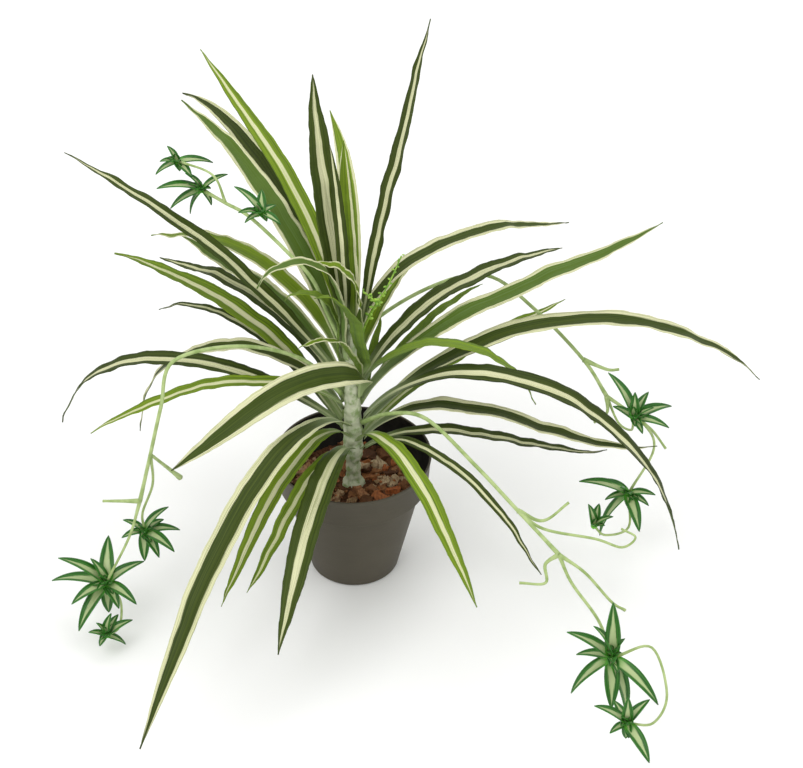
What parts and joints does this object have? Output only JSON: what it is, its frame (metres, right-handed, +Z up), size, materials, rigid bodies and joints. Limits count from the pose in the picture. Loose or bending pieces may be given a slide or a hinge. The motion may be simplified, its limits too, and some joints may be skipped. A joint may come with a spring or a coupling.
{
  "type": "potted spider plant",
  "caption": "Artificial spider plant in a round tapered pot, with arching striped ribbon leaves and thin runners that carry small plantlets.",
  "frame": {"origin": "centre of the pot's flat underside", "axes": "+Z up along the pot's axis; +X to the viewer's right; -Y towards the front"},
  "size_m": [0.5893, 0.5098, 0.4942],
  "materials": {
    "pot": "matte taupe moulded plastic",
    "ballast": "cast filler, hidden under the bark",
    "bark": "loose orange-brown bark chips",
    "stalk": "pale moulded stalk with small bumps",
    "leaf_cream_centre": "dark green with a cream centre stripe",
    "leaf_cream_margin": "dark green with cream margins",
    "leaf_bright": "yellow-green with a paler stripe",
    "plantlet": "glossy deep green with a cream streak",
    "runner": "pale yellow-green flexible stem",
    "flower": "bright green beaded sprig"
  },
  "bodies": {
    "root": {"pot": "pot", "ballast": "ballast", "bark_bed": "bark", "stalk": "stalk", "leaf_01": "leaf_cream_centre", "leaf_02": "leaf_bright", "leaf_03": "leaf_cream_centre", "leaf_04": "leaf_cream_centre", "leaf_05": "leaf_bright", "leaf_06": "leaf_cream_margin", "leaf_07": "leaf_bright", "leaf_08": "leaf_cream_centre", "leaf_09": "leaf_bright", "leaf_10": "leaf_cream_margin", "leaf_11": "leaf_cream_centre", "leaf_12": "leaf_bright", "leaf_13": "leaf_cream_margin", "leaf_14": "leaf_cream_centre", "leaf_15": "leaf_bright", "leaf_16": "leaf_cream_margin", "leaf_17": "leaf_bright", "leaf_18": "leaf_cream_centre", "leaf_19": "leaf_bright", "leaf_20": "leaf_cream_margin", "leaf_21": "leaf_cream_margin", "leaf_22": "leaf_cream_margin", "leaf_23": "leaf_cream_centre", "leaf_24": "leaf_bright", "leaf_25": "leaf_cream_centre", "leaf_26": "leaf_bright", "leaf_27": "leaf_cream_margin", "leaf_28": "leaf_bright", "leaf_29": "leaf_bright", "leaf_30": "leaf_bright", "leaf_31": "leaf_bright", "leaf_32": "leaf_bright", "leaf_33": "leaf_cream_margin", "leaf_34": "leaf_cream_margin", "leaf_35": "leaf_bright", "leaf_36": "leaf_cream_margin", "leaf_37": "leaf_cream_centre", "leaf_38": "leaf_cream_centre", "leaf_39": "leaf_bright", "leaf_40": "leaf_cream_centre", "leaf_41": "leaf_bright", "runner_left": "runner", "runner_front": "runner", "runner_right": "runner", "runner_back_left": "runner", "plantlet_left_high": "plantlet", "plantlet_left_low": "plantlet", "plantlet_left_end": "plantlet", "plantlet_front_high": "plantlet", "plantlet_front_low": "plantlet", "plantlet_right_high": "plantlet", "plantlet_right_low": "plantlet", "plantlet_back_near": "plantlet", "plantlet_back_far": "plantlet", "plantlet_back_side": "plantlet", "flower_sprigs": "flower"}
  },
  "joints": []
}
